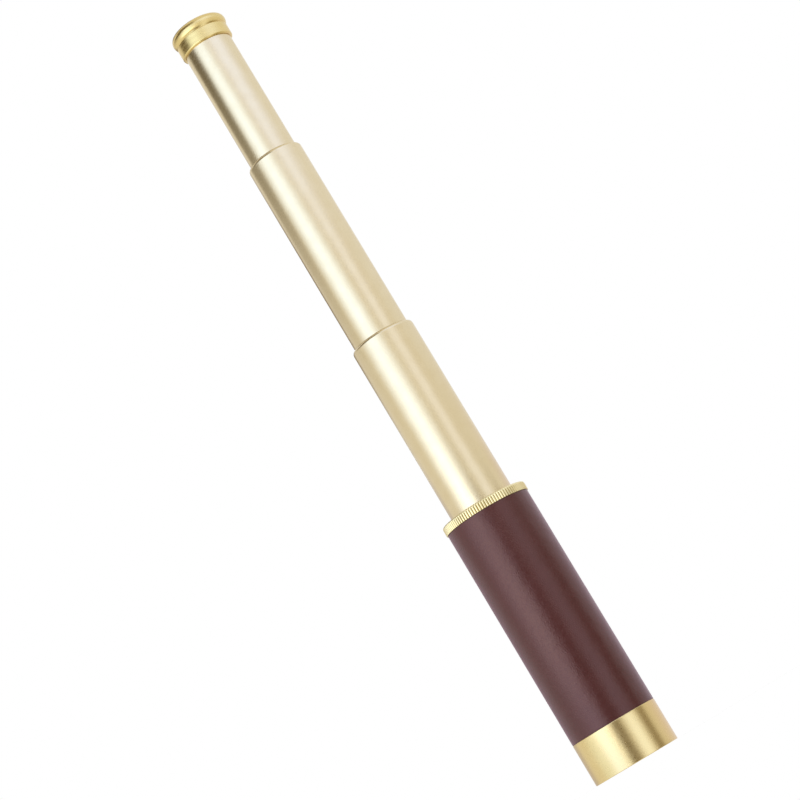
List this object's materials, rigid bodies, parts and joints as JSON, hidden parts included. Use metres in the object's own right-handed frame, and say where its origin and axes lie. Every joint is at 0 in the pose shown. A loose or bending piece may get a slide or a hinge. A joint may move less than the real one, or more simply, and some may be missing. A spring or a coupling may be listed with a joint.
{
  "type": "collapsible hand telescope",
  "caption": "Hand-held brass spyglass: a leather-covered barrel with a knurled collar and nested draw tubes that slide out to focus and push in to close.",
  "frame": {"origin": "centre of the objective bezel's front rim, where the telescope stands", "axes": "+Z along the optical axis from the objective to the eyepiece; +Y towards the leather cover's seam"},
  "size_m": [0.0408, 0.0408, 0.3832],
  "materials": {
    "satin_brass": "turned, satin brushed and lacquered",
    "turned_brass": "knurled, bright and lacquered",
    "polished_brass": "turned, polished and lacquered",
    "barrel_aluminium": "drawn tube, matte black inside",
    "barrel_leather": "smooth wine-brown leather, fine grain, satin",
    "champagne_aluminium": "drawn tube, fine satin, champagne-gold anodised",
    "nylon": "moulded, natural",
    "optical_glass": "polished and coated",
    "blackened_aluminium": "turned, black anodised, matte"
  },
  "bodies": {
    "barrel": {"objective_bezel": "satin_brass", "objective_crown_lens": "optical_glass", "objective_flint_lens": "optical_glass", "objective_retaining_ring": "blackened_aluminium", "barrel_tube": "barrel_aluminium", "leather_wrap": "barrel_leather", "knurled_collar": "turned_brass"},
    "slide_ring_1": {"slide_ring_1": "nylon"},
    "draw_1": {"draw_tube_1": "champagne_aluminium"},
    "slide_ring_2": {"slide_ring_2": "nylon"},
    "draw_2": {"draw_tube_2": "champagne_aluminium"},
    "slide_ring_3": {"slide_ring_3": "nylon"},
    "draw_3": {"draw_tube_3": "champagne_aluminium", "erector_cell": "blackened_aluminium", "erector_front_lens": "optical_glass", "erector_spacer": "blackened_aluminium", "erector_rear_lens": "optical_glass", "erector_retaining_ring": "blackened_aluminium", "eyepiece_sleeve": "blackened_aluminium", "field_lens": "optical_glass", "eyepiece_spacer": "blackened_aluminium", "eye_lens": "optical_glass", "eye_lens_retaining_ring": "blackened_aluminium", "eyepiece_cap": "polished_brass"}
  },
  "joints": [
    {"name": "draw_1_slide", "type": "slide", "parent": "barrel", "child": "slide_ring_1", "axis": [0, 0, 1], "range_m": [-0.084, 0]},
    {"name": "draw_1_twist", "type": "hinge", "parent": "slide_ring_1", "child": "draw_1", "pos_m": [0, 0, 0.1104], "axis": [0, 0, 1], "continuous": true},
    {"name": "draw_2_slide", "type": "slide", "parent": "draw_1", "child": "slide_ring_2", "axis": [0, 0, 1], "range_m": [-0.093, 0]},
    {"name": "draw_2_twist", "type": "hinge", "parent": "slide_ring_2", "child": "draw_2", "pos_m": [0, 0, 0.2099], "axis": [0, 0, 1], "continuous": true},
    {"name": "draw_3_slide", "type": "slide", "parent": "draw_2", "child": "slide_ring_3", "axis": [0, 0, 1], "range_m": [-0.0585, 0]},
    {"name": "draw_3_twist", "type": "hinge", "parent": "slide_ring_3", "child": "draw_3", "pos_m": [0, 0, 0.3061], "axis": [0, 0, 1], "continuous": true}
  ]
}
